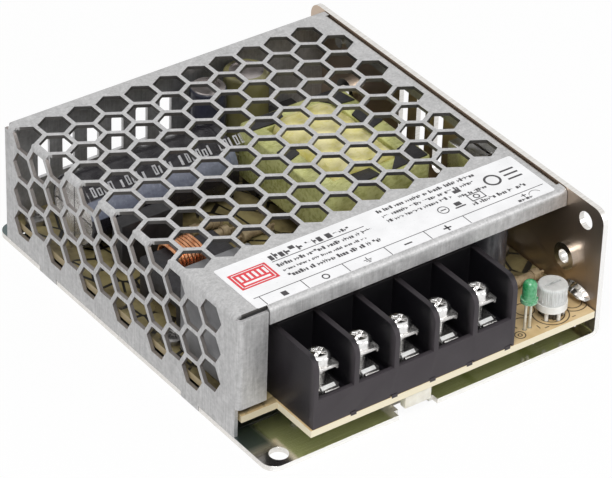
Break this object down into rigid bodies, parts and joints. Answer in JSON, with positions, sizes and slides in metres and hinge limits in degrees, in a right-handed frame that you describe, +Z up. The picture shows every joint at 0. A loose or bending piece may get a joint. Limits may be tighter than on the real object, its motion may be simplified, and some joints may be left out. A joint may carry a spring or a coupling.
{
  "type": "enclosed switching power supply",
  "caption": "Small enclosed AC to DC power supply with a hexagon mesh cover, folded sheet base, screw terminal block, lamp and output adjuster.",
  "frame": {"origin": "centre of the footprint, at the underside of the base sheet", "axes": "+Z up, +Y from the terminals to the far end, +X from the mesh side to the plain wall"},
  "size_m": [0.082, 0.099, 0.03],
  "materials": {
    "base_sheet": "satin rolled sheet",
    "cover_sheet": "galvanised sheet",
    "steel_screw": "bright plated",
    "film": "dark film",
    "sticker": "white print stock",
    "laminate": "tan laminate, green solder mask below",
    "spacer_nylon": "natural nylon",
    "block_plastic": "black moulding",
    "contact_metal": "tinned",
    "lamp_plastic": "green translucent",
    "lead_wire": "tinned wire",
    "trimmer_body": "white moulding",
    "knob_plastic": "translucent grey",
    "sleeve_black": "printed sleeve",
    "box_grey": "grey box",
    "ferrite": "dark ferrite",
    "copper_wire": "enamelled copper",
    "fuse_ceramic": "pale ceramic, plated caps",
    "disc_green": "coated disc",
    "disc_blue": "blue coated disc",
    "moulded_black": "moulded package",
    "bobbin_black": "moulded bobbin",
    "tape_yellow": "yellow polyester tape",
    "sleeve_navy": "printed sleeve",
    "opto_white": "white moulding",
    "resistor_body": "coated film"
  },
  "bodies": {
    "case": {"chassis": "base_sheet", "cover": "cover_sheet", "cover_screws": "steel_screw", "insulating_sheet": "film", "label": "sticker", "circuit_board": "laminate", "board_standoffs": "steel_screw", "board_screws": "steel_screw", "edge_spacer": "spacer_nylon", "terminal_block": "block_plastic", "terminal_contacts": "contact_metal", "power_lamp": "lamp_plastic", "lamp_leads": "lead_wire", "trimmer_base": "trimmer_body", "bulk_capacitor": "sleeve_black", "line_capacitor": "box_grey", "filter_core": "ferrite", "filter_windings": "copper_wire", "fuse": "fuse_ceramic", "surge_limiter": "disc_green", "disc_capacitor": "disc_blue", "bridge_rectifier": "moulded_black", "transformer_core": "ferrite", "transformer_bobbin": "bobbin_black", "transformer_winding": "tape_yellow", "power_transistor": "moulded_black", "output_rectifier": "moulded_black", "rectifier_clip": "steel_screw", "output_capacitors": "sleeve_black", "rear_capacitors": "sleeve_navy", "output_choke": "copper_wire", "optocoupler": "opto_white", "control_chip": "moulded_black", "resistors": "resistor_body"},
    "knob": {"trimmer_knob": "knob_plastic"},
    "clamp_1": {"clamp_plate_1": "contact_metal"},
    "screw_1": {"terminal_screw_1": "steel_screw"},
    "clamp_2": {"clamp_plate_2": "contact_metal"},
    "screw_2": {"terminal_screw_2": "steel_screw"},
    "clamp_3": {"clamp_plate_3": "contact_metal"},
    "screw_3": {"terminal_screw_3": "steel_screw"},
    "clamp_4": {"clamp_plate_4": "contact_metal"},
    "screw_4": {"terminal_screw_4": "steel_screw"},
    "clamp_5": {"clamp_plate_5": "contact_metal"},
    "screw_5": {"terminal_screw_5": "steel_screw"}
  },
  "joints": [
    {"name": "knob_turn", "type": "hinge", "parent": "case", "child": "knob", "pos_m": [0.0315, -0.0451, 0.012], "axis": [0, 0, 1], "range_deg": [-135, 135]},
    {"name": "clamp_1_slide", "type": "slide", "parent": "case", "child": "clamp_1", "axis": [0, 0, 1], "range_m": [-0.0036, 0.0003]},
    {"name": "screw_1_turn", "type": "hinge", "parent": "clamp_1", "child": "screw_1", "pos_m": [-0.02565, -0.0432, 0.017], "axis": [0, 0, 1], "range_deg": [-2593, 217]},
    {"name": "clamp_2_slide", "type": "slide", "parent": "case", "child": "clamp_2", "axis": [0, 0, 1], "range_m": [-0.0036, 0.0003]},
    {"name": "screw_2_turn", "type": "hinge", "parent": "clamp_2", "child": "screw_2", "pos_m": [-0.01595, -0.0432, 0.017], "axis": [0, 0, 1], "range_deg": [-2593, 217]},
    {"name": "clamp_3_slide", "type": "slide", "parent": "case", "child": "clamp_3", "axis": [0, 0, 1], "range_m": [-0.0036, 0.0003]},
    {"name": "screw_3_turn", "type": "hinge", "parent": "clamp_3", "child": "screw_3", "pos_m": [-0.00625, -0.0432, 0.017], "axis": [0, 0, 1], "range_deg": [-2593, 217]},
    {"name": "clamp_4_slide", "type": "slide", "parent": "case", "child": "clamp_4", "axis": [0, 0, 1], "range_m": [-0.0036, 0.0003]},
    {"name": "screw_4_turn", "type": "hinge", "parent": "clamp_4", "child": "screw_4", "pos_m": [0.00345, -0.0432, 0.017], "axis": [0, 0, 1], "range_deg": [-2593, 217]},
    {"name": "clamp_5_slide", "type": "slide", "parent": "case", "child": "clamp_5", "axis": [0, 0, 1], "range_m": [-0.0036, 0.0003]},
    {"name": "screw_5_turn", "type": "hinge", "parent": "clamp_5", "child": "screw_5", "pos_m": [0.01315, -0.0432, 0.017], "axis": [0, 0, 1], "range_deg": [-2593, 217]}
  ],
  "couplings": [
    {"joint": "screw_1_turn", "follows": "clamp_1_slide", "rad_per_m": 12566},
    {"joint": "screw_2_turn", "follows": "clamp_2_slide", "rad_per_m": 12566},
    {"joint": "screw_3_turn", "follows": "clamp_3_slide", "rad_per_m": 12566},
    {"joint": "screw_4_turn", "follows": "clamp_4_slide", "rad_per_m": 12566},
    {"joint": "screw_5_turn", "follows": "clamp_5_slide", "rad_per_m": 12566}
  ]
}
